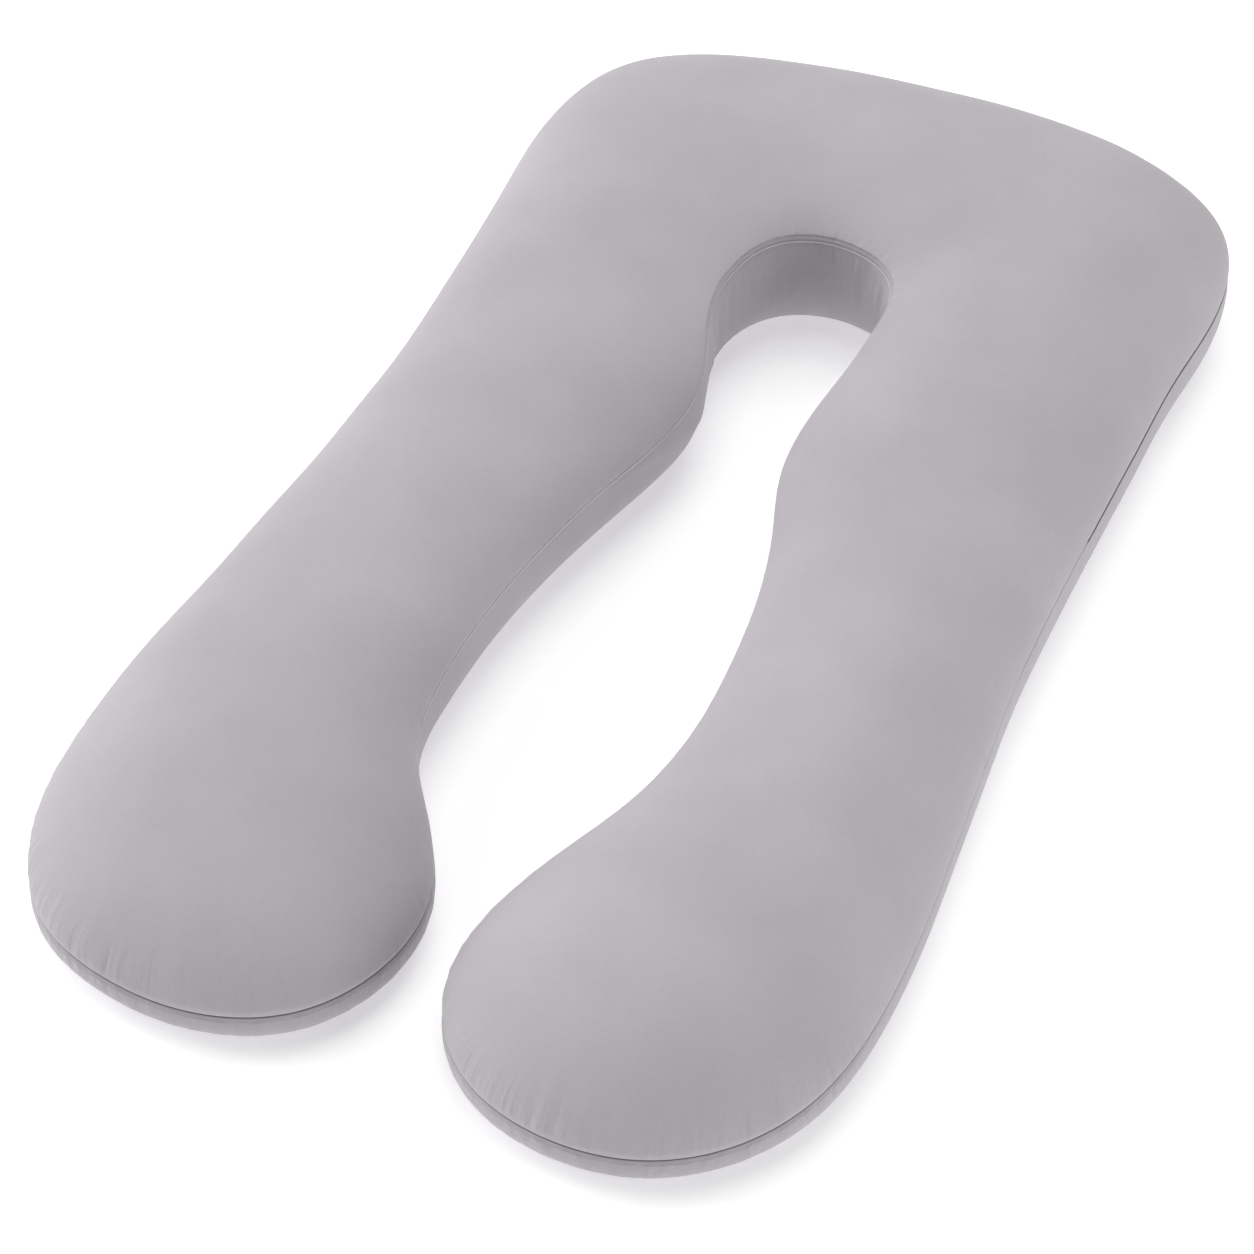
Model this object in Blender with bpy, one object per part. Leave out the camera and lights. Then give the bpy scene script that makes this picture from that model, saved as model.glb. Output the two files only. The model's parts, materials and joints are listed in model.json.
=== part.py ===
"""Pregnancy pillow: one long filled pillow bent into a U, lying on its back.

Two shaped panels, top and bottom, meet in one seam that runs all the way round, and a concealed
zip lies in that seam on the right side of the closed end. The gap inside the U has a round hole
for the neck at the closed end, a narrow throat, a wide space for the belly and a narrow mouth
between the two round leg ends.

Metres, +Z up. +Y points to the closed end, +X to the right leg. The origin is at the middle of
the footprint, on the surface that the pillow lies on.
"""
import math
from collections import namedtuple

import bmesh
import bpy
import numpy as np

# Sections of the pillow. Each stands on the spine, the line along the middle of the filling, and
# reaches to the seam on both sides. A row gives where the seam runs on the outside and on the
# inside of the U, on the right and on the left half, the seam's height above the surface outside
# and inside, and the height of the crown between them.
Section = namedtuple("Section", "at outer_right outer_left inner_right inner_left outer_z inner_z crown")

# Round the closed end: at is an angle in degrees about the turn's centre, and the seam's places
# are radii from it.
TURN_CENTRE_Y = 0.285
TURN = [Section(*row) for row in (
    (90, 0.410, 0.410, 0.1055, 0.1055, 0.083, 0.134, 0.180),
    (72, 0.432, 0.421, 0.1050, 0.1045, 0.083, 0.134, 0.179),
    (57, 0.465, 0.450, 0.1035, 0.1010, 0.083, 0.134, 0.178),
    (44, 0.476, 0.464, 0.0990, 0.0950, 0.083, 0.134, 0.176),
    (31, 0.435, 0.433, 0.0913, 0.0883, 0.083, 0.134, 0.174),
    (16, 0.381, 0.385, 0.0835, 0.0828, 0.083, 0.134, 0.172),
)]

# Down the legs: at is y, and the seam's places are distances from the middle of the U.
LEG = [Section(*row) for row in (
    (0.285, 0.364, 0.363, 0.080, 0.081, 0.083, 0.134, 0.170),
    (0.230, 0.363, 0.361, 0.074, 0.071, 0.083, 0.126, 0.166),
    (0.170, 0.362, 0.359, 0.061, 0.054, 0.083, 0.110, 0.161),
    (0.100, 0.361, 0.358, 0.059, 0.063, 0.083, 0.095, 0.156),
    (0.020, 0.361, 0.361, 0.082, 0.084, 0.083, 0.095, 0.155),
    (-0.070, 0.363, 0.366, 0.104, 0.105, 0.083, 0.095, 0.155),
    (-0.170, 0.371, 0.376, 0.115, 0.119, 0.083, 0.095, 0.155),
    (-0.270, 0.379, 0.388, 0.115, 0.122, 0.077, 0.095, 0.157),
    (-0.350, 0.385, 0.400, 0.093, 0.114, 0.073, 0.080, 0.160),
    (-0.420, 0.387, 0.406, 0.059, 0.071, 0.069, 0.067, 0.163),
    (-0.485, 0.384, 0.407, 0.029, 0.036, 0.065, 0.055, 0.165),
)]

# Round each leg's end: an angle in degrees from the outer side, down round the tip, to the inner
# side, the seam's radius about the end's centre on the right and on the left, and its height.
TipRow = namedtuple("TipRow", "angle right left z")
TIP_CENTRE_X = {1: 0.192, -1: 0.208}
TIP = [TipRow(*row) for row in (
    (25, 0.192, 0.206, 0.058),
    (50, 0.198, 0.215, 0.051),
    (75, 0.207, 0.211, 0.051),
    (100, 0.211, 0.212, 0.051),
    (125, 0.212, 0.211, 0.051),
    (150, 0.197, 0.197, 0.053),
)]

# Steps between two rows of the tables above
TURN_STEPS = 4
LEG_STEPS = 3
TIP_STEPS = 4

# Top panel: it leaves the seam steeply and flattens out to the crown.
TOP_SPREAD = 2.05
TOP_STEEPNESS = 0.60
TOP_SHARES = (0.02, 0.07, 0.15, 0.27, 0.43, 0.66, 1.0)

# Bottom panel: it bulges a little below the seam and turns under to the flat that it lies on.
# Round the neck hole the wall stands nearly upright.
UNDER_INSET = 0.088
UNDER_ROUNDNESS = 2.7
UNDER_BULGE = 0.002
NECK_ROUNDNESS = 3.5
NECK_BULGE = 0.0035
NECK_REACH = (0.11, 0.16)
NECK_START_Y = (0.17, 0.26)
UNDER_SHARES = (0.2, 0.42, 0.62, 0.79, 0.92, 1.0)

# Seam: a shallow channel between two lips
LIP_HEIGHT = 0.005
LIP_INSET = 0.001
CHANNEL_HEIGHT = 0.0026
CHANNEL_INSET = 0.0035

# Zip: a strip in the channel on the right, between these two places along the pillow
ZIP_TOP_Y = 0.570
ZIP_BOTTOM_Y = 0.140
ZIP_HALF_WIDTH = 0.0022
ZIP_CLEARANCE = 0.0004
ZIP_FACE_INSET = 0.0012

FABRIC_COLOUR = (0.49, 0.47, 0.49, 1.0)
ZIP_COLOUR = (0.30, 0.28, 0.30, 1.0)
WELD = 0.00001


def smooth_step(value, start, end):
    """0 below start, 1 above end, and a smooth rise between them."""
    share = np.clip((value - start) / (end - start), 0.0, 1.0)
    return share * share * (3.0 - 2.0 * share)


def curve_through(points, steps, closed):
    """A smooth curve through the points, with the given number of steps between each pair."""
    points = np.array(points)
    count = len(points)
    rows = np.arange(count)
    gap = np.linalg.norm(np.roll(points, -1, axis=0) - points, axis=1)
    before = np.roll(gap, 1)
    direction = (np.roll(points, -1, axis=0) - points) / gap[:, None]
    system = np.zeros((count, count))
    system[rows, rows - 1] = gap
    system[rows, rows] = 2.0 * (before + gap)
    system[rows, (rows + 1) % count] = before
    change = 3.0 * (gap[:, None] * np.roll(direction, 1, axis=0) + before[:, None] * direction)
    if not closed:
        system[0] = system[-1] = 0.0
        system[0, :2] = (2.0, 1.0)
        system[-1, -2:] = (1.0, 2.0)
        change[0] = 3.0 * direction[0]
        change[-1] = 3.0 * direction[-2]
    slopes = np.linalg.solve(system, change)
    curve = []
    for i, step_count in enumerate(steps):
        j = (i + 1) % count
        for t in np.arange(step_count) / step_count:
            start_weight = 2 * t**3 - 3 * t**2 + 1
            start_pull = (t**3 - 2 * t**2 + t) * gap[i]
            end_pull = (t**3 - t**2) * gap[i]
            curve.append(start_weight * points[i] + (1 - start_weight) * points[j]
                         + start_pull * slopes[i] + end_pull * slopes[j])
    if not closed:
        curve.append(points[-1])
    return np.array(curve)


def stations():
    """Outer seam, inner seam and crown at each section, from the right tip round to the left tip."""
    def side_stations(side):
        found = []
        for row in reversed(LEG):
            outer, inner = (row.outer_right, row.inner_right) if side > 0 else (row.outer_left, row.inner_left)
            found.append(((side * outer, row.at, row.outer_z), (side * inner, row.at, row.inner_z), row.crown))
        for row in reversed(TURN[1:]):
            outer, inner = (row.outer_right, row.inner_right) if side > 0 else (row.outer_left, row.inner_left)
            angle = math.radians(row.at)
            across, along = side * math.cos(angle), math.sin(angle)
            found.append(((across * outer, TURN_CENTRE_Y + along * outer, row.outer_z),
                          (across * inner, TURN_CENTRE_Y + along * inner, row.inner_z), row.crown))
        return found

    middle = TURN[0]
    closed_end = ((0.0, TURN_CENTRE_Y + middle.outer_right, middle.outer_z),
                  (0.0, TURN_CENTRE_Y + middle.inner_right, middle.inner_z), middle.crown)
    return side_stations(1) + [closed_end] + side_stations(-1)[::-1]


def tip_seam(side):
    """Seam points round one leg's end, from its outer side to its inner side."""
    points = []
    for row in TIP:
        radius = row.right if side > 0 else row.left
        angle = math.radians(row.angle)
        points.append((side * (TIP_CENTRE_X[side] + radius * math.cos(angle)),
                       LEG[-1].at - radius * math.sin(angle), row.z))
    return points


def seam_and_spine():
    """The seam loop and, for each of its points, the point of the spine that its section stands on."""
    rows = stations()
    outer = [row[0] for row in rows]
    inner = [row[1] for row in rows]
    crown_line = [((row[0][0] + row[1][0]) / 2, (row[0][1] + row[1][1]) / 2, row[2]) for row in rows]
    leg_gaps = len(LEG) - 1
    turn_gaps = 2 * len(TURN)
    steps = [LEG_STEPS] * leg_gaps + [TURN_STEPS] * turn_gaps + [LEG_STEPS] * leg_gaps
    tip_steps = [TIP_STEPS] * (len(TIP) + 1)

    knots = outer + tip_seam(-1) + inner[::-1] + tip_seam(1)[::-1]
    seam = curve_through(knots, steps + tip_steps + steps[::-1] + tip_steps, closed=True)
    spine = curve_through(crown_line, steps, closed=False)
    tip_points = sum(tip_steps) - 1
    stands_on = np.concatenate([spine, np.repeat(spine[-1:], tip_points, axis=0),
                                spine[::-1], np.repeat(spine[:1], tip_points, axis=0)])
    return seam, stands_on


def half_sections(seam, spine):
    """Profile of every half section, from the crown over the seam and under to the flat."""
    inward = spine[:, :2] - seam[:, :2]
    reach = np.hypot(inward[:, 0], inward[:, 1])
    inward = inward / reach[:, None]
    from_turn = np.hypot(seam[:, 0], seam[:, 1] - TURN_CENTRE_Y)
    neck = smooth_step(seam[:, 1], *NECK_START_Y) * (1 - smooth_step(from_turn, *NECK_REACH))
    roundness = UNDER_ROUNDNESS + (NECK_ROUNDNESS - UNDER_ROUNDNESS) * neck
    bulge = UNDER_BULGE + (NECK_BULGE - UNDER_BULGE) * neck
    seam_z = seam[:, 2]

    def row_at(inset, height):
        plan = seam[:, :2] + inward * np.broadcast_to(inset, reach.shape)[:, None]
        return np.column_stack([plan, np.broadcast_to(height, reach.shape)])

    rows = []
    for share in reversed(TOP_SHARES):
        rise = (1 - (1 - share) ** TOP_SPREAD) ** TOP_STEEPNESS
        lip_z = seam_z + LIP_HEIGHT
        rows.append(row_at(LIP_INSET + share * (reach - LIP_INSET), lip_z + (spine[:, 2] - lip_z) * rise))
    rows.append(row_at(LIP_INSET, seam_z + LIP_HEIGHT))
    rows.append(row_at(CHANNEL_INSET, seam_z + CHANNEL_HEIGHT))
    rows.append(row_at(CHANNEL_INSET, seam_z - CHANNEL_HEIGHT))
    rows.append(row_at(LIP_INSET, seam_z - LIP_HEIGHT))
    for share in UNDER_SHARES:
        turned = 1 - (1 - share**roundness) ** (1 / roundness)
        inset = LIP_INSET * (1 - share) + UNDER_INSET * turned - bulge * 4 * share * (1 - share)
        rows.append(row_at(inset, (seam_z - LIP_HEIGHT) * (1 - share)))
    return np.stack(rows, axis=1)


def zip_sections(seam, spine, along):
    """Four corners of the zip strip at each seam point that it passes."""
    inward = spine[along, :2] - seam[along, :2]
    inward = inward / np.hypot(inward[:, 0], inward[:, 1])[:, None]
    back = CHANNEL_INSET - ZIP_CLEARANCE
    corners = []
    for inset, lift in ((ZIP_FACE_INSET, 1), (ZIP_FACE_INSET, -1), (back, -1), (back, 1)):
        plan = seam[along, :2] + inward * inset
        corners.append(np.column_stack([plan, seam[along, 2] + lift * ZIP_HALF_WIDTH]))
    return np.stack(corners, axis=1)


def loft(name, sections, closed_path, closed_section, collection, material):
    """One solid skinned over its sections, with the open ends filled."""
    bm = bmesh.new()
    rings = [[bm.verts.new(point) for point in section] for section in sections]
    pairs = list(zip(rings, rings[1:]))
    if closed_path:
        pairs.append((rings[-1], rings[0]))
    for ring, after in pairs:
        last = len(ring) if closed_section else len(ring) - 1
        for i in range(last):
            j = (i + 1) % len(ring)
            bm.faces.new((ring[i], ring[j], after[j], after[i]))
    if closed_path:
        bm.faces.new([ring[-1] for ring in rings])
    else:
        bm.faces.new(rings[0])
        bm.faces.new(rings[-1])
    bmesh.ops.remove_doubles(bm, verts=bm.verts, dist=WELD)
    bmesh.ops.recalc_face_normals(bm, faces=bm.faces)
    mesh = bpy.data.meshes.new(name)
    bm.to_mesh(mesh)
    bm.free()
    mesh.shade_smooth()
    mesh.materials.append(material)
    solid = bpy.data.objects.new(name, mesh)
    collection.objects.link(solid)
    return solid


def fabric(name, colour, roughness):
    """A matte cloth finish."""
    material = bpy.data.materials.new(name)
    material.use_nodes = True
    shader = material.node_tree.nodes["Principled BSDF"]
    shader.inputs["Base Color"].default_value = colour
    shader.inputs["Roughness"].default_value = roughness
    shader.inputs["Metallic"].default_value = 0.0
    return material


def build_pillow():
    """The filled pillow and the zip strip in its seam, centred on the footprint."""
    collection = bpy.data.collections.new("pregnancy_pillow")
    bpy.context.scene.collection.children.link(collection)

    seam, spine = seam_and_spine()
    sections = half_sections(seam, spine)
    plan = sections.reshape(-1, 3)[:, :2]
    centre = (plan.min(axis=0) + plan.max(axis=0)) / 2
    for points in (seam, spine, sections):
        points[..., :2] -= centre

    loft("pillow", sections, True, False, collection, fabric("cover_cloth", FABRIC_COLOUR, 0.9))
    on_zip = (seam[:, 0] > 0) & (seam[:, 1] < ZIP_TOP_Y) & (seam[:, 1] > ZIP_BOTTOM_Y)
    outside = np.hypot(seam[:, 0], seam[:, 1] - TURN_CENTRE_Y) > NECK_REACH[1]
    along = np.nonzero(on_zip & outside)[0]
    loft("zip_strip", zip_sections(seam, spine, along), False, True, collection,
         fabric("zip_tape", ZIP_COLOUR, 0.7))


for old in list(bpy.data.objects):
    bpy.data.objects.remove(old, do_unlink=True)
build_pillow()
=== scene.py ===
import json
import math
from collections import namedtuple

import bmesh
import bpy
import numpy as np
from mathutils import Matrix, Vector

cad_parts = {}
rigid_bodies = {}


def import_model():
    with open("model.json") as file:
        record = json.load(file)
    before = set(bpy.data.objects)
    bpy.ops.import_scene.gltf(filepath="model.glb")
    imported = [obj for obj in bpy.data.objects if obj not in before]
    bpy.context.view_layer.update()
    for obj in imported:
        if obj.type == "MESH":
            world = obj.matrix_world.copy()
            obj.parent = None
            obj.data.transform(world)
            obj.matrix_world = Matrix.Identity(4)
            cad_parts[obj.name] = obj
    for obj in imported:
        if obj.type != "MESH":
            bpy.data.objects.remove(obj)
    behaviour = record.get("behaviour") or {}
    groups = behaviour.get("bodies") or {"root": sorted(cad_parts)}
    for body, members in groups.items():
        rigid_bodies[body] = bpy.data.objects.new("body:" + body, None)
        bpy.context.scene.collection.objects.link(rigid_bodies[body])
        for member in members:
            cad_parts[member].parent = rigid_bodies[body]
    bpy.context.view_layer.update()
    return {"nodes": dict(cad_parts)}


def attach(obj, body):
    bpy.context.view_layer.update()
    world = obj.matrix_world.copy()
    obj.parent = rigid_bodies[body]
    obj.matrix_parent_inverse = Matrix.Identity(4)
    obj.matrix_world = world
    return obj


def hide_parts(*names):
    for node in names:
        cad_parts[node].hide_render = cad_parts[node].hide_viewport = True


for old in list(bpy.data.objects):
    bpy.data.objects.remove(old, do_unlink=True)
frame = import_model()


# Seam line
# The pillow is cut as two panels, top and bottom, sewn face to face all round. The frame's solid
# carries that seam: each of its half sections rises from the flat underside over the seam to the
# crown, and the lines through them give the seam, the crown and the flat's rim.
WELD = 0.00001
ON_LINE = 0.0004
LIP_ROWS = (6, 9)
SEAM_STEP = 0.0040
TIP_COLUMNS = 90
INNER_SAMPLES = 6000


def lies_flat(face):
    """True for a face of the underside that the pillow lies on."""
    return all(vert.co.z < WELD for vert in face.verts)


def climb(foot, first):
    """Points of the solid's section that starts at a rim point and rises through first."""
    heading = (first.co - foot.co).xy.normalized()
    column = [foot, first]
    while True:
        top = column[-1]
        above = [edge.other_vert(top) for edge in top.link_edges]
        above = [vert for vert in above if vert.co.z > top.co.z + WELD
                 and abs(heading.cross((vert.co - foot.co).xy)) < ON_LINE]
        if not above:
            return column
        column.append(min(above, key=lambda vert: vert.co.z))


def solid_sections(node):
    """The solid's half sections in order round its rim, each from the flat up to the crown."""
    bm = bmesh.new()
    bm.from_mesh(node.data)
    bm.transform(node.matrix_world)
    bmesh.ops.remove_doubles(bm, verts=bm.verts, dist=WELD)
    rim_edges = {edge for edge in bm.edges if sum(lies_flat(face) for face in edge.link_faces) == 1}
    start = max((vert for edge in rim_edges for vert in edge.verts), key=lambda vert: vert.co.y)
    rim_way = max((edge for edge in start.link_edges if edge in rim_edges),
                  key=lambda edge: edge.other_vert(start).co.x)
    foot = start
    columns = []
    while not columns or foot != start:
        above = [edge.other_vert(foot) for edge in foot.link_edges if edge.other_vert(foot).co.z > WELD]
        columns.append(max((climb(foot, first) for first in above), key=len))
        foot = rim_way.other_vert(foot)
        rim_way = next(edge for edge in foot.link_edges if edge in rim_edges and edge != rim_way)
    points = np.array([[vert.co[:] for vert in column] for column in columns])
    bm.free()
    return points


def round_curve(points, knots, length, at):
    """Points at the given distances along the smooth closed curve through the points at the knots."""
    count = len(points)
    rows = np.arange(count)
    gap = np.append(knots[1:], length) - knots
    before = np.roll(gap, 1)
    step = (np.roll(points, -1, axis=0) - points) / gap[:, None]
    system = np.zeros((count, count))
    system[rows, rows - 1] = gap
    system[rows, rows] = 2 * (before + gap)
    system[rows, (rows + 1) % count] = before
    pulls = gap[:, None] * np.roll(step, 1, axis=0) + before[:, None] * step
    slopes = np.linalg.solve(system, 3 * pulls)
    i = np.searchsorted(knots, at % length, side="right") - 1
    j = (i + 1) % count
    t = ((at % length - knots[i]) / gap[i])[:, None]
    here = 2 * t**3 - 3 * t**2 + 1
    pull = (t**3 - 2 * t**2 + t) * slopes[i] + (t**3 - t**2) * slopes[j]
    return here * points[i] + (1 - here) * points[j] + pull * gap[i, None]


def crown_share(way):
    """Share of the crown line passed at each of the given distances round the seam."""
    passed = round_curve(sections[:, -1], knots, perimeter, way)
    steps = np.linalg.norm(np.diff(passed, axis=0), axis=1)
    return np.concatenate([[0.0], np.cumsum(steps)]) / steps.sum()


sections = solid_sections(frame["nodes"]["pillow"])
lips = (sections[:, LIP_ROWS[0]] + sections[:, LIP_ROWS[1]]) / 2
chords = np.linalg.norm(np.roll(lips, -1, axis=0) - lips, axis=1)
perimeter = chords.sum()
knots = np.concatenate([[0.0], np.cumsum(chords)[:-1]])

# The crown line stands still while the seam turns round a leg's end, so those sections are the ends.
still = np.flatnonzero(np.linalg.norm(np.diff(sections[:, -1], axis=0), axis=1) < WELD)
parting = np.argmax(np.diff(still))
right_first, right_last = still[0], still[parting] + 1
left_first, left_last = still[parting + 1], still[-1] + 1
right_way = np.linspace(knots[right_first], knots[right_last], TIP_COLUMNS)
left_way = np.linspace(knots[left_first], knots[left_last], TIP_COLUMNS)
outer_length = knots[right_first] + perimeter - knots[left_last]
outer_way = knots[left_last] + np.linspace(0, outer_length, int(outer_length / SEAM_STEP))
inner_fine = np.linspace(knots[right_last], knots[left_first], INNER_SAMPLES)
inner_way = np.interp(1 - crown_share(outer_way), crown_share(inner_fine), inner_fine)[::-1]
crown_line = round_curve(sections[:, -1], knots, perimeter, outer_way)
crown_line[0], crown_line[-1] = sections[left_last, -1], sections[right_first, -1]

along = np.concatenate([right_way, inner_way[1:-1], left_way, outer_way[1:-1],
                        [knots[right_first] + perimeter]])
lines = round_curve(np.concatenate([lips, sections[:, 0]], axis=1), knots, perimeter, along)
seam, rim = lines[:, :3], lines[:, 3:]
crown = np.concatenate([np.repeat(crown_line[-1:], TIP_COLUMNS, axis=0), crown_line[::-1][1:-1],
                        np.repeat(crown_line[:1], TIP_COLUMNS, axis=0), crown_line[1:]])
inward = crown[:, :2] - seam[:, :2]
reach = np.linalg.norm(inward, axis=1)
inward = inward / reach[:, None]


# Cover and filling
# Soft, matte mauve-grey jersey stretched over a plump filling. Both panels swell out of the drawn-in
# seam, whose short stitches gather the cloth into small puckers. The wall of the neck hole is the
# bottom panel standing up on its inner curve, so it is gathered into soft upright pleats.
LIP_HEIGHT = 0.005
TOP_SPREAD = 2.05
TOP_STEEPNESS = 0.60
NECK_EASING = 0.22
EASING_Y = (0.05, 0.25)
LIP_LEAN = 0.55
UNDER_ROUNDNESS = 2.7
UNDER_BULGE = 0.002
NECK_ROUNDNESS = 3.5
NECK_BULGE = 0.0035
NECK_CENTRE = (0.010, 0.285)
NECK_START_Y = (0.17, 0.26)
NECK_REACH = (0.11, 0.16)
TIP_START_Y = (-0.40, -0.54)
GROOVE_DEPTH = 0.0027
INNER_GROOVE_SHARE = 0.3
GROOVE_HALF_WIDTH = 0.0009
# heights of the cover's rows beside the seam, in millimetres
SEAM_HEIGHTS = (-4.2, -3.4, -3.0, -2.65, -2.3, -1.7, -1.1, -0.6, -0.25, 0.0,
                0.25, 0.6, 1.1, 1.7, 2.3, 2.65, 3.0, 3.4, 4.2)
PROFILE_SAMPLES = 4001
INNER_TURN = (-0.2, 0.2)
RIDGE_HEIGHT = 0.0007
RIDGE_LIFT = -0.0013
RIDGE_HALF_WIDTH = 0.0008
ZIP_SPAN_Y = (0.141, 0.569)
ZIP_END = 0.004
ZIP_MIN_X = 0.25
# share of the painted shade that darkens the zip's lower edge
ZIP_LOWER_EDGE_SHADE = 0.85
# how much of the painted shade in the seam's groove shows along the inner seam and round the neck hole
INNER_SEAM_SHADE = 0.1
NECK_SEAM_SHADE = 0.25
GATHER_ABOVE = 0.030
GATHER_BELOW = 0.090
CHANNEL_DEPTH = 0.0036
CHANNEL_EDGE = (0.0023, 0.0031)
ROW_GROWTH = 1.26
FIRST_ROW = 0.0016
LAST_ROW = 0.016
FLAT_SHARES = (0.25, 0.6, 1.0)
NO_SIZE = 1e-9


def smooth_step(value, start, end):
    """0 at start, 1 at end, and a smooth rise between them."""
    share = np.clip((value - start) / (end - start), 0.0, 1.0)
    return share * share * (3.0 - 2.0 * share)


def graded_shares(curve_x, curve_y):
    """Shares along a profile curve whose spacing grows from FIRST_ROW at the seam to LAST_ROW."""
    travelled = np.concatenate([[0], np.cumsum(np.hypot(np.diff(curve_x), np.diff(curve_y)))])
    stops = [0.0]
    step = FIRST_ROW
    while stops[-1] < travelled[-1] - step:
        stops.append(stops[-1] + step)
        step = min(step * ROW_GROWTH, LAST_ROW)
    stops[-1] = travelled[-1]
    return np.array(stops[1:]), travelled


def top_rise(share, steepness=TOP_STEEPNESS):
    """Height of the top panel, as a share of the crown's, at a share of the way in to the crown."""
    return (1 - (1 - share) ** TOP_SPREAD) ** steepness


def under_turn(share, roundness):
    """How far the bottom panel has turned under at a share of the way down from the seam."""
    return 1 - (1 - share**roundness) ** (1 / roundness)


from_neck = np.hypot(seam[:, 0] - NECK_CENTRE[0], seam[:, 1] - NECK_CENTRE[1])
neck = smooth_step(seam[:, 1], *NECK_START_Y) * (1 - smooth_step(from_neck, *NECK_REACH))
tip = smooth_step(seam[:, 1], *TIP_START_Y)
roundness = UNDER_ROUNDNESS + (NECK_ROUNDNESS - UNDER_ROUNDNESS) * neck
bulge = UNDER_BULGE + (NECK_BULGE - UNDER_BULGE) * neck
under_inset = np.linalg.norm(rim[:, :2] - seam[:, :2], axis=1)

fine = np.linspace(0, 1, PROFILE_SAMPLES) ** 2
mean_reach = reach.mean()
mean_rise = (crown[:, 2] - seam[:, 2]).mean()
mean_drop = seam[:, 2].mean()
top_stops, top_travel = graded_shares(fine * mean_reach, top_rise(fine) * mean_rise)
top_shares = np.interp(top_stops, top_travel, fine)
fine_down = np.linspace(0, 1, PROFILE_SAMPLES)
under_stops, under_travel = graded_shares(under_turn(fine_down, UNDER_ROUNDNESS) * under_inset.mean(),
                                          fine_down * mean_drop)
under_shares = np.interp(under_stops, under_travel, fine_down)

rows = []
from_seam = []


def add_row(inset, height, distance):
    """One row of the cover, all round the pillow, at an inset from the seam and a height."""
    plan = seam[:, :2] + inward * np.broadcast_to(inset, reach.shape)[:, None]
    rows.append(np.column_stack([plan, np.broadcast_to(height, reach.shape)]))
    from_seam.append(distance)


last_under = under_stops[-1] + LIP_HEIGHT
flat_reach = reach - under_inset
for share in reversed(FLAT_SHARES):
    add_row(under_inset + flat_reach * share, 0.0, -last_under - share * flat_reach.mean())
for share, stop in zip(under_shares[::-1], under_stops[::-1]):
    inset = under_inset * under_turn(share, roundness) - bulge * 4 * share * (1 - share)
    add_row(inset, (seam[:, 2] - LIP_HEIGHT) * (1 - share), -stop - LIP_HEIGHT)
from_middle = seam[:, :2] - NECK_CENTRE
from_middle[:, 1] = np.maximum(from_middle[:, 1], 0.0)
from_middle = from_middle / np.linalg.norm(from_middle, axis=1)[:, None]
inner_side = smooth_step((inward * from_middle).sum(axis=1), *INNER_TURN) * (1 - tip)
steepness = TOP_STEEPNESS + NECK_EASING * inner_side * smooth_step(seam[:, 1], *EASING_Y)
lip_lean = LIP_LEAN * inner_side * smooth_step(seam[:, 1], *EASING_Y)
on_zip = (smooth_step(seam[:, 1], ZIP_SPAN_Y[0] - ZIP_END, ZIP_SPAN_Y[0])
          * (1 - smooth_step(seam[:, 1], ZIP_SPAN_Y[1], ZIP_SPAN_Y[1] + ZIP_END)) * (inward[:, 0] < 0)
          * (seam[:, 0] > ZIP_MIN_X))
for height in SEAM_HEIGHTS:
    lift = height / 1000
    groove = GROOVE_DEPTH * math.exp(-abs(lift) / GROOVE_HALF_WIDTH)
    groove = groove * (1 - (1 - INNER_GROOVE_SHARE) * inner_side)
    channel = CHANNEL_DEPTH * (1 - smooth_step(abs(lift), *CHANNEL_EDGE))
    ridge = RIDGE_HEIGHT * math.exp(-((lift - RIDGE_LIFT) / RIDGE_HALF_WIDTH) ** 2) * inner_side
    lean_back = lip_lean * smooth_step(lift, 0.0, LIP_HEIGHT) * lift
    add_row(groove + (channel - groove) * on_zip - ridge + lean_back, seam[:, 2] + lift, lift)
base = seam[:, 2] + LIP_HEIGHT
lip_inset = lip_lean * LIP_HEIGHT
for share, stop in zip(top_shares, top_stops):
    inset = lip_inset + share * (reach - lip_inset)
    add_row(inset, base + (crown[:, 2] - base) * top_rise(share, steepness), stop + LIP_HEIGHT)
cover_points = np.stack(rows)
from_seam = np.array(from_seam)


def outward_normals(points):
    """Unit normals of the cover at each of its points."""
    body = points[:, :-1]
    round_way = np.roll(body, -1, axis=1) - np.roll(body, 1, axis=1)
    up_way = np.gradient(body, axis=0)
    normal = np.cross(up_way, round_way)
    size = np.linalg.norm(normal, axis=2, keepdims=True)
    normal = np.where(size > NO_SIZE, normal / np.maximum(size, NO_SIZE), 0.0)
    return np.concatenate([normal, normal[:, :1]], axis=1)


PUCKER_SEED = 7
# pitch along the seam, how far it reaches, and its height, in metres
PUCKERS = (
    (0.017, 0.020, 0.00016),
    (0.030, 0.045, 0.00030),
)
PUCKER_ONSET = 0.008
LEG_PUCKER_SHARE = 0.2
# pitch along the seam and height, in metres
PLEATS = (
    (0.016, 0.00020),
    (0.027, 0.00045),
)
PLEAT_START = (0.004, 0.03)
PLEAT_END = (0.05, 0.09)
LEAN = 0.18
LEAN_PITCH = 0.16
WAVE_PARTS = 40
WAVE_SPREAD = (0.6, 1.45)
SWELLS = 9
SWELL_WAVES = (0.13, 0.42)
SWELL_HEIGHT = 0.0009
SWELL_START = (0.0, 0.06)
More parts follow.
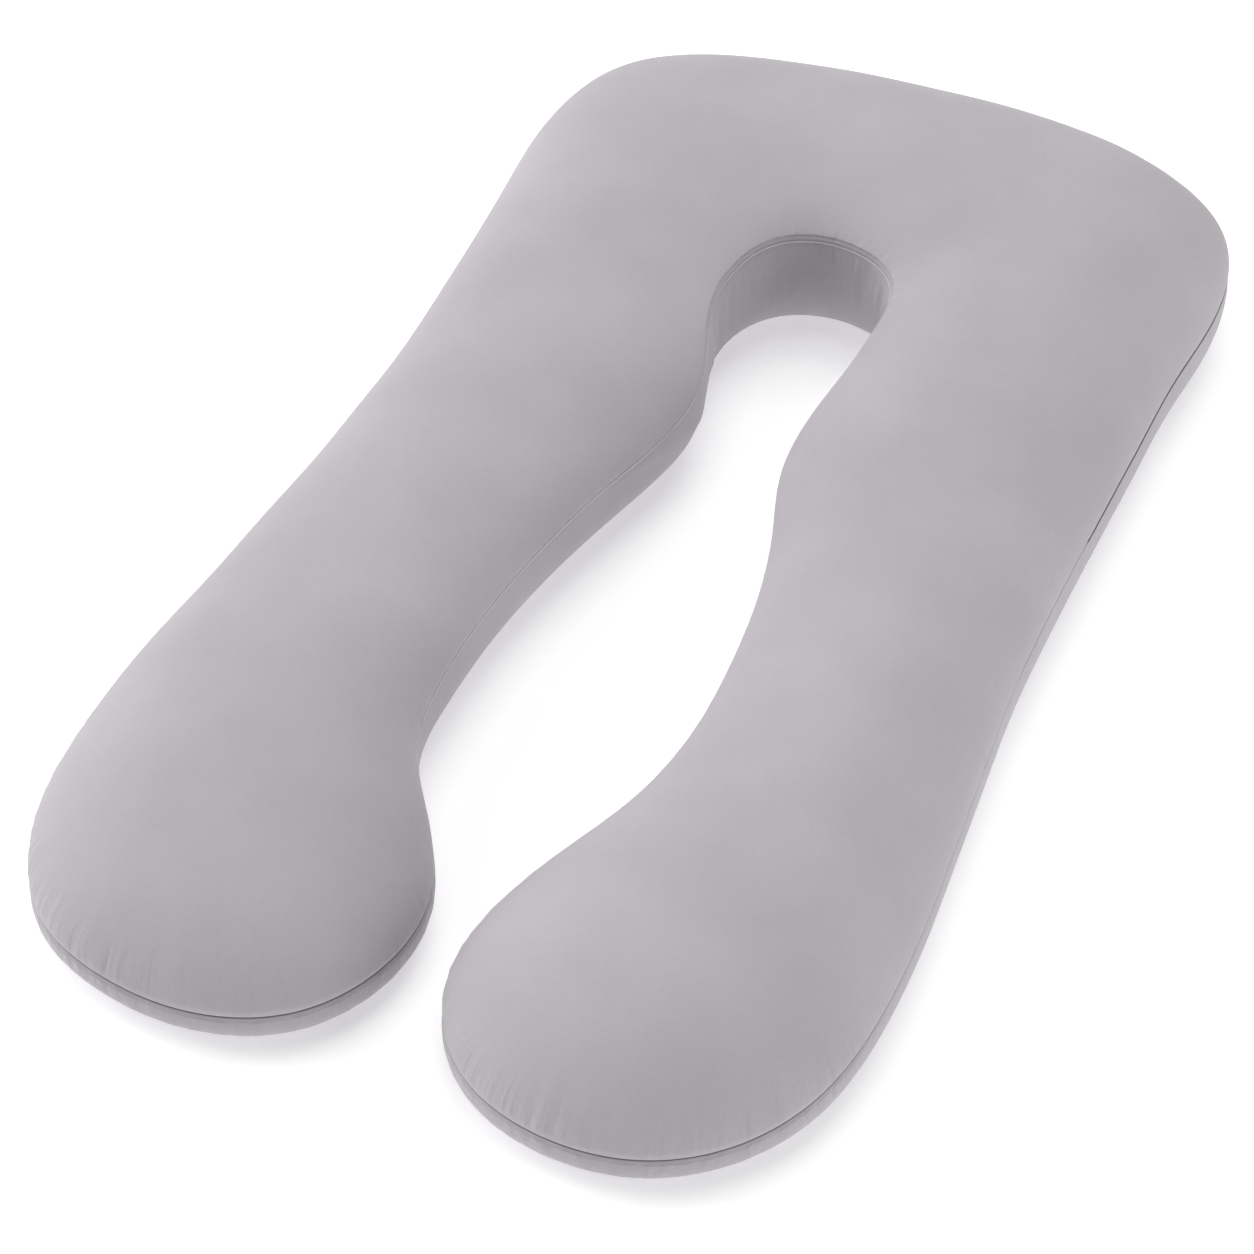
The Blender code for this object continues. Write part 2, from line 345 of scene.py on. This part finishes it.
# A soft ridge that runs through the given distances along the seam and from it, its height, and how
# wide it is on its upper side and on its lower side.
Fold = namedtuple("Fold", "route height above below")
FOLDS = [Fold(*row) for row in (
    (((3.365, -0.004), (3.318, -0.010), (3.262, -0.022), (3.210, -0.040), (3.170, -0.060)),
     0.0018, 0.014, 0.005),
    (((3.150, -0.006), (3.128, -0.030), (3.116, -0.060)), 0.0020, 0.010, 0.006),
    (((2.880, -0.004), (2.848, -0.014), (2.805, -0.024), (2.770, -0.022)), 0.0016, 0.010, 0.004),
)]
FOLD_SAMPLES = 40
FOLD_ENDS = (0.03, 0.97)
FOLD_START = (0.0, 0.006)


def wandering_wave(distance, pitch, rng):
    """A wave of about the given pitch along the seam, whose pitch and strength wander."""
    whole = perimeter / pitch
    turns = rng.integers(int(whole * WAVE_SPREAD[0]), int(whole * WAVE_SPREAD[1]), WAVE_PARTS)
    starts = rng.uniform(0, 2 * math.pi, len(turns))
    wave = np.zeros_like(distance)
    for turn, start in zip(turns, starts):
        wave += np.cos(2 * math.pi * turn * distance / perimeter + start)
    return wave / math.sqrt(len(turns) / 2)


def fold_relief(folds):
    """Height of the soft folds over the cover."""
    relief = np.zeros((len(from_seam), len(along)))
    for fold in folds:
        route = np.array(fold.route)
        spots = np.linspace(0, len(route) - 1, FOLD_SAMPLES)
        line = np.column_stack([np.interp(spots, np.arange(len(route)), route[:, i]) for i in range(2)])
        across = along[None, :, None] - line[:, 0]
        rise = from_seam[:, None, None] - line[:, 1]
        nearest = np.argmin(across**2 + rise**2, axis=2)[..., None]
        across = np.take_along_axis(across, nearest, axis=2)[..., 0]
        rise = np.take_along_axis(rise, nearest, axis=2)[..., 0]
        off = np.hypot(across, rise) * np.where(rise > 0, 1 / fold.above, 1 / fold.below)
        progress = np.clip(nearest[..., 0] / (FOLD_SAMPLES - 1), *FOLD_ENDS)
        relief += fold.height * np.exp(-off**2) * np.sin(math.pi * progress) ** 0.5
    return relief * smooth_step(-from_seam, *FOLD_START)[:, None]


rng = np.random.default_rng(PUCKER_SEED)
normals = outward_normals(cover_points)
away = np.abs(from_seam)[:, None]
lean = LEAN * wandering_wave(along, LEAN_PITCH, rng)[None]
distance = along[None] + away * lean
strength = LEG_PUCKER_SHARE + (1 - LEG_PUCKER_SHARE) * tip[None]
relief = np.zeros(cover_points.shape[:2])
for side in (1, -1):
    here = (np.sign(from_seam) == side)[:, None] * np.ones_like(distance)
    for pitch, fade, height in PUCKERS:
        shape = np.exp(-away / fade) * smooth_step(away, 0.0, PUCKER_ONSET)
        relief += here * strength * height * shape * wandering_wave(distance, pitch, rng)
down = (from_seam < 0)[:, None] * smooth_step(away, *PLEAT_START) * (1 - smooth_step(away, *PLEAT_END))
for pitch, height in PLEATS:
    relief += down * neck[None] * height * wandering_wave(distance, pitch, rng)
relief[[0, -1]] = 0.0
cover_points = cover_points + normals * relief[..., None]
cover_points = cover_points + normals * fold_relief(FOLDS)[..., None]
swell = np.zeros(cover_points.shape[:2])
for heading, wave, start in zip(rng.uniform(0, math.pi, SWELLS), rng.uniform(*SWELL_WAVES, SWELLS),
                                rng.uniform(0, 2 * math.pi, SWELLS)):
    across = cover_points[..., 0] * math.cos(heading) + cover_points[..., 1] * math.sin(heading)
    swell += SWELL_HEIGHT * wave / SWELL_WAVES[1] * np.cos(2 * math.pi * across / wave + start)
cover_points[..., 2] += swell * smooth_step(from_seam, *SWELL_START)[:, None]
cover_points[..., 2] = np.maximum(cover_points[..., 2], 0.0)


def wrapped_grid(name, points, u_values, v_values, marks):
    """A grid sheet wrapped onto rows of points and closed, with its UVs in metres and named marks."""
    row_count, point_count = points.shape[:2]
    bm = bmesh.new()
    bm.loops.layers.uv.new("UVMap")
    bmesh.ops.create_grid(bm, x_segments=point_count - 1, y_segments=row_count - 1, size=1, calc_uvs=True)
    for vert, place in zip(bm.verts, points.reshape(-1, 3)):
        vert.co = place
    for mark, values in marks.items():
        layer = bm.verts.layers.float.new(mark)
        for vert, value in zip(bm.verts, np.broadcast_to(values, points.shape[:2]).ravel()):
            vert[layer] = value
    bmesh.ops.remove_doubles(bm, verts=bm.verts, dist=WELD)
    bmesh.ops.recalc_face_normals(bm, faces=bm.faces)
    mesh = bpy.data.meshes.new(name)
    bm.to_mesh(mesh)
    bm.free()
    mesh.shade_smooth()
    uv = mesh.uv_layers[0].uv
    spots = np.zeros(len(uv) * 2)
    uv.foreach_get("vector", spots)
    spots = spots.reshape(-1, 2)
    spots[:, 0] = np.interp(spots[:, 0] * (point_count - 1), np.arange(point_count), u_values)
    spots[:, 1] = np.interp(spots[:, 1] * (row_count - 1), np.arange(row_count), v_values)
    uv.foreach_set("vector", spots.ravel())
    piece = bpy.data.objects.new(name, mesh)
    bpy.context.scene.collection.objects.link(piece)
    return piece


# Painted shade: the cloth's colour is darkened down in the groove and along both edges of the zip,
# where shadow falls. The inner seam is pulled tight, and a painted highlight, a thin pale line along
# it, stands in for the light its edge catches.
GROOVE_SHADE = (0.0003, 0.0012)
ZIP_SHADE_START = (0.0016, 0.0021)
ZIP_SHADE_END = (0.0028, 0.0034)
GATHER_START = (0.001, 0.008)
LEG_GATHER_SHARE = 0.15
off_seam = np.abs(from_seam)[:, None]
groove_shade = 1 - smooth_step(off_seam, *GROOVE_SHADE)
edge_shade = smooth_step(off_seam, *ZIP_SHADE_START) * (1 - smooth_step(off_seam, *ZIP_SHADE_END))
edge_shade = edge_shade * np.where(from_seam > 0, 1.0, ZIP_LOWER_EDGE_SHADE)[:, None]
seam_shade = 1 - (1 - INNER_SEAM_SHADE) * inner_side * (1 - neck) - (1 - NECK_SEAM_SHADE) * neck
round_angle = 2 * math.pi * along / perimeter
gather_reach = np.where(from_seam > 0, GATHER_ABOVE, GATHER_BELOW)[:, None]
gather_fade = smooth_step(off_seam, *GATHER_START) * np.exp(-(off_seam / gather_reach) ** 2)
# where the painted highlight runs, on the small ridge just under the inner seam
on_ridge = np.exp(-((from_seam - RIDGE_LIFT) / RIDGE_HALF_WIDTH) ** 2)[:, None]
cover_marks = {
    "painted_crease_shade": groove_shade * seam_shade * (1 - on_zip) + edge_shade * on_zip,
    "painted_highlight": on_ridge * inner_side * (1 - on_zip),
    "gather": gather_fade * (LEG_GATHER_SHARE + (1 - LEG_GATHER_SHARE) * np.maximum(tip, neck)),
    "round_x": np.cos(round_angle) * perimeter / (2 * math.pi),
    "round_y": np.sin(round_angle) * perimeter / (2 * math.pi),
    "from_seam": np.broadcast_to(from_seam[:, None], (len(from_seam), len(along))),
}
cover = wrapped_grid("cover", cover_points, along, from_seam, cover_marks)


def grain_group():
    """Fine knit grain and slow mottling of a soft cloth, as a height and a shade between 0 and 1."""
    group = bpy.data.node_groups.new("soft_cloth_grain", "ShaderNodeTree")
    face = group.interface
    face.new_socket("Pitch", in_out="INPUT", socket_type="NodeSocketFloat").default_value = 0.0016
    face.new_socket("Height", in_out="OUTPUT", socket_type="NodeSocketFloat")
    face.new_socket("Shade", in_out="OUTPUT", socket_type="NodeSocketFloat")
    nodes, links = group.nodes, group.links
    entry = nodes.new("NodeGroupInput")
    leave = nodes.new("NodeGroupOutput")
    place = nodes.new("ShaderNodeTexCoord")
    per_metre = nodes.new("ShaderNodeMath")
    per_metre.operation = "DIVIDE"
    per_metre.inputs[0].default_value = 1.0
    links.new(entry.outputs["Pitch"], per_metre.inputs[1])
    loops = nodes.new("ShaderNodeTexVoronoi")
    loops.inputs["Randomness"].default_value = 0.55
    fuzz = nodes.new("ShaderNodeTexNoise")
    fuzz.inputs["Scale"].default_value = 260.0
    fuzz.inputs["Detail"].default_value = 3.0
    slow = nodes.new("ShaderNodeTexNoise")
    slow.inputs["Scale"].default_value = 7.0
    slow.inputs["Detail"].default_value = 4.0
    for node in (loops, fuzz, slow):
        links.new(place.outputs["Object"], node.inputs["Vector"])
    links.new(per_metre.outputs[0], loops.inputs["Scale"])
    both = nodes.new("ShaderNodeMath")
    both.operation = "MULTIPLY_ADD"
    both.inputs[1].default_value = 0.6
    links.new(loops.outputs["Distance"], both.inputs[0])
    links.new(fuzz.outputs["Fac"], both.inputs[2])
    links.new(both.outputs[0], leave.inputs["Height"])
    shade = nodes.new("ShaderNodeMath")
    shade.operation = "MULTIPLY_ADD"
    shade.inputs[1].default_value = 0.35
    links.new(fuzz.outputs["Fac"], shade.inputs[0])
    links.new(slow.outputs["Fac"], shade.inputs[2])
    links.new(shade.outputs[0], leave.inputs["Shade"])
    return group


soft_grain = grain_group()


def cloth_material(name, dark, light, pitch, bump_height):
    """Matte cloth with grain, mottling and a soft nap."""
    material = bpy.data.materials.new(name)
    material.use_nodes = True
    nodes, links = material.node_tree.nodes, material.node_tree.links
    shader = nodes["Principled BSDF"]
    shader.inputs["Roughness"].default_value = 0.88
    shader.inputs["Specular IOR Level"].default_value = 0.25
    shader.inputs["Sheen Weight"].default_value = 0.18
    shader.inputs["Sheen Roughness"].default_value = 0.45
    grain = nodes.new("ShaderNodeGroup")
    grain.node_tree = soft_grain
    grain.inputs["Pitch"].default_value = pitch
    tone = nodes.new("ShaderNodeValToRGB")
    tone.color_ramp.elements[0].position = 0.45
    tone.color_ramp.elements[0].color = dark
    tone.color_ramp.elements[1].position = 0.95
    tone.color_ramp.elements[1].color = light
    links.new(grain.outputs["Shade"], tone.inputs["Fac"])
    links.new(tone.outputs["Color"], shader.inputs["Base Color"])
    bump = nodes.new("ShaderNodeBump")
    bump.inputs["Strength"].default_value = 0.5
    bump.inputs["Distance"].default_value = bump_height
    links.new(grain.outputs["Height"], bump.inputs["Height"])
    links.new(bump.outputs["Normal"], shader.inputs["Normal"])
    return material, tone.outputs["Color"], bump


def tint_by_mark(material, colour, mark, tint):
    """Mixes a tint over a colour socket by a mark stored on the mesh, and gives the mixed socket."""
    nodes, links = material.node_tree.nodes, material.node_tree.links
    stored = nodes.new("ShaderNodeAttribute")
    stored.attribute_name = mark
    mix = nodes.new("ShaderNodeMix")
    mix.data_type = "RGBA"
    mix.inputs["B"].default_value = tint
    links.new(stored.outputs["Fac"], mix.inputs["Factor"])
    links.new(colour, mix.inputs["A"])
    links.new(mix.outputs["Result"], nodes["Principled BSDF"].inputs["Base Color"])
    return mix.outputs["Result"]


def gather_cloth(material, grain_bump):
    """Adds the fine gathers that run off the seam, under the cloth's own grain."""
    nodes, links = material.node_tree.nodes, material.node_tree.links
    place = nodes.new("ShaderNodeCombineXYZ")
    for mark, socket, per_metre in (("round_x", "X", GATHERS_PER_METRE),
                                    ("round_y", "Y", GATHERS_PER_METRE),
                                    ("from_seam", "Z", GATHER_BREAKS_PER_METRE)):
        stored = nodes.new("ShaderNodeAttribute")
        stored.attribute_name = mark
        scale = nodes.new("ShaderNodeMath")
        scale.operation = "MULTIPLY"
        scale.inputs[1].default_value = per_metre
        links.new(stored.outputs["Fac"], scale.inputs[0])
        links.new(scale.outputs[0], place.inputs[socket])
    streaks = nodes.new("ShaderNodeTexNoise")
    streaks.inputs["Scale"].default_value = 1.0
    streaks.inputs["Detail"].default_value = 2.0
    links.new(place.outputs[0], streaks.inputs["Vector"])
    strength = nodes.new("ShaderNodeAttribute")
    strength.attribute_name = "gather"
    height = nodes.new("ShaderNodeMath")
    height.operation = "MULTIPLY"
    links.new(streaks.outputs["Fac"], height.inputs[0])
    links.new(strength.outputs["Fac"], height.inputs[1])
    bump = nodes.new("ShaderNodeBump")
    bump.inputs["Distance"].default_value = GATHER_HEIGHT
    links.new(height.outputs[0], bump.inputs["Height"])
    links.new(bump.outputs["Normal"], grain_bump.inputs["Normal"])


CLOTH_DARK = (0.470, 0.445, 0.475, 1.0)
CLOTH_LIGHT = (0.535, 0.510, 0.540, 1.0)
# painted shade: the dark colour mixed in down in the seam's groove and along the zip's edges
CREASE_SHADOW = (0.15, 0.14, 0.155, 1.0)
# painted highlight: the light colour mixed in along the inner seam's tight edge
PAINTED_HIGHLIGHT = (0.74, 0.71, 0.745, 1.0)
GATHERS_PER_METRE = 95.0
GATHER_BREAKS_PER_METRE = 14.0
GATHER_HEIGHT = 0.0032
COVER_GRAIN = (0.0016, 0.0003)
cover_cloth, cover_tone, cover_grain = cloth_material("cover_cloth", CLOTH_DARK, CLOTH_LIGHT, *COVER_GRAIN)
cover_tone = tint_by_mark(cover_cloth, cover_tone, "painted_highlight", PAINTED_HIGHLIGHT)
tint_by_mark(cover_cloth, cover_tone, "painted_crease_shade", CREASE_SHADOW)
gather_cloth(cover_cloth, cover_grain)
cover.data.materials.append(cover_cloth)
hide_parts("pillow")
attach(cover, "root")


# Zip strip
# The closed zip hides behind a narrow turned flap of the cover's cloth that fills the seam's channel
# along the right side of the closed end. It is a soft flat ribbed strip with square ends.
STRIP_HALF_WIDTH = 0.0021
STRIP_FACE = 0.0008
STRIP_BACK = 0.0030
STRIP_STEP = 0.0009
RIB_PITCH = 0.0036
RIB_HEIGHT = 0.00012
# how dark the painted shade at the strip's edges gets
STRIP_SEAM_SHADE = 0.55
STRIP_GRAIN = (0.0012, 0.0002)
# height across the strip and depth from its face to its back, as shares, going round the section
STRIP_SECTION = (
    (0.0, 0.0),
    (0.35, 0.02),
    (0.7, 0.10),
    (0.92, 0.24),
    (1.0, 0.42),
    (1.0, 0.75),
    (0.94, 1.0),
    (0.4, 1.0),
    (-0.4, 1.0),
    (-0.94, 1.0),
    (-1.0, 0.75),
    (-1.0, 0.42),
    (-0.92, 0.24),
    (-0.7, 0.10),
    (-0.35, 0.02),
    (0.0, 0.0),
)
on_strip = ((seam[:, 1] > ZIP_SPAN_Y[0]) & (seam[:, 1] < ZIP_SPAN_Y[1])
            & (seam[:, 0] > ZIP_MIN_X) & (inward[:, 0] < 0))
strip_ways = along[on_strip]
strip_way = np.linspace(strip_ways[0], strip_ways[-1], int((strip_ways[-1] - strip_ways[0]) / STRIP_STEP))
strip_seam = np.column_stack([np.interp(strip_way, strip_ways, seam[on_strip, axis]) for axis in range(3)])
strip_inward = np.column_stack([np.interp(strip_way, strip_ways, inward[on_strip, axis])
                                for axis in range(2)])
rib = RIB_HEIGHT * np.cos(2 * math.pi * strip_way / RIB_PITCH)
strip_rows = []
for across, depth in STRIP_SECTION:
    face = STRIP_FACE - rib * (1 - depth) * (1 - across**2)
    inset = face + (STRIP_BACK - face) * depth
    plan = strip_seam[:, :2] + strip_inward * inset[:, None]
    strip_rows.append(np.column_stack([plan, strip_seam[:, 2] + across * STRIP_HALF_WIDTH]))
strip_points = np.stack(strip_rows)
middle = np.repeat(strip_points.mean(axis=0, keepdims=True), len(STRIP_SECTION), axis=0)
strip_points = np.concatenate([middle[:, :1], strip_points, middle[:, -1:]], axis=1)
strip_u = np.concatenate([strip_way[:1], strip_way, strip_way[-1:]])
strip_v = np.array([across * STRIP_HALF_WIDTH for across, depth in STRIP_SECTION])
# Painted shade: the strip's colour darkens towards both its edges, where it sinks into the seam's channel.
strip_painted_shade = np.array([[STRIP_SEAM_SHADE * abs(across) ** 3] for across, depth in STRIP_SECTION])
zip_piece = wrapped_grid("zip_flap", strip_points, strip_u, strip_v, {"painted_crease_shade": strip_painted_shade})
zip_cloth, zip_tone = cloth_material("zip_cloth", CLOTH_DARK, CLOTH_LIGHT, *STRIP_GRAIN)[:2]
tint_by_mark(zip_cloth, zip_tone, "painted_crease_shade", CREASE_SHADOW)
zip_piece.data.materials.append(zip_cloth)
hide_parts("zip_strip")
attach(zip_piece, "root")


# Floor, light and camera
# A plain white lit studio floor and wide soft lights: the strongest from the left, the others low from
# the right, from behind and from above.
FLOOR_SIZE = 14.0
FLOOR_WHITE = (0.92, 0.92, 0.92, 1.0)
FLOOR_GLOW = 0.38
FLOOR_DROP = 0.0004
SURROUND = 0.08
LIGHT_SOFTNESS = 40.0
# side it comes from, counted from the front towards the right, its height in degrees, and strength
LIGHTS = (
    ("left_low", 270.0, 15.0, 1.10),
    ("left_high", 270.0, 40.0, 0.85),
    ("front_left", 315.0, 40.0, 0.31),
    ("right_low", 90.0, 15.0, 0.97),
    ("back_high", 180.0, 65.0, 0.79),
    ("overhead", 0.0, 90.0, 0.72),
)
CAMERA_AZIMUTH = 23.8
CAMERA_ELEVATION = 45.79
CAMERA_ROLL = -0.17
CAMERA_DISTANCE = 3.724
CAMERA_LENS = 114.43
SENSOR = 36.0
AIM = (0.0147, -0.1489, 0.09)

scene = bpy.context.scene
floor_mesh = bpy.data.meshes.new("floor")
bm = bmesh.new()
bmesh.ops.create_grid(bm, x_segments=1, y_segments=1, size=FLOOR_SIZE / 2,
                      matrix=Matrix.Translation((0.0, 0.0, -FLOOR_DROP)))
bm.to_mesh(floor_mesh)
bm.free()
floor = bpy.data.objects.new("floor", floor_mesh)
scene.collection.objects.link(floor)
paper = bpy.data.materials.new("floor_paper")
paper.use_nodes = True
paper_shader = paper.node_tree.nodes["Principled BSDF"]
paper_shader.inputs["Base Color"].default_value = FLOOR_WHITE
paper_shader.inputs["Roughness"].default_value = 0.9
paper_shader.inputs["Emission Color"].default_value = (1.0, 1.0, 1.0, 1.0)
paper_shader.inputs["Emission Strength"].default_value = FLOOR_GLOW
floor.data.materials.append(paper)

world = bpy.data.worlds.new("surround")
scene.world = world
world.use_nodes = True
world.node_tree.nodes["Background"].inputs["Color"].default_value = (1.0, 1.0, 1.0, 1.0)
world.node_tree.nodes["Background"].inputs["Strength"].default_value = SURROUND

for name, side, height, strength in LIGHTS:
    lamp_data = bpy.data.lights.new(name, "SUN")
    lamp_data.angle = math.radians(LIGHT_SOFTNESS)
    lamp_data.energy = strength
    side, height = math.radians(side), math.radians(height)
    to_lamp = Vector((math.sin(side) * math.cos(height), -math.cos(side) * math.cos(height),
                      math.sin(height)))
    lamp = bpy.data.objects.new(name, lamp_data)
    lamp.rotation_euler = (-to_lamp).to_track_quat("-Z", "Y").to_euler()
    scene.collection.objects.link(lamp)

azimuth, elevation, roll = (math.radians(a) for a in (CAMERA_AZIMUTH, CAMERA_ELEVATION, CAMERA_ROLL))
back = Vector((math.sin(azimuth) * math.cos(elevation), -math.cos(azimuth) * math.cos(elevation),
               math.sin(elevation)))
level = Vector((math.cos(azimuth), math.sin(azimuth), 0.0))
tilt_up = back.cross(level)
side_way = level * math.cos(roll) + tilt_up * math.sin(roll)
up_way = tilt_up * math.cos(roll) - level * math.sin(roll)
pose = Matrix((side_way, up_way, back)).transposed().to_4x4()
pose.translation = Vector(AIM) + back * CAMERA_DISTANCE
camera_data = bpy.data.cameras.new("camera")
camera_data.sensor_width = SENSOR
camera_data.lens = CAMERA_LENS
camera = bpy.data.objects.new("camera", camera_data)
camera.matrix_world = pose
scene.collection.objects.link(camera)
scene.camera = camera
scene.view_settings.view_transform = "Standard"
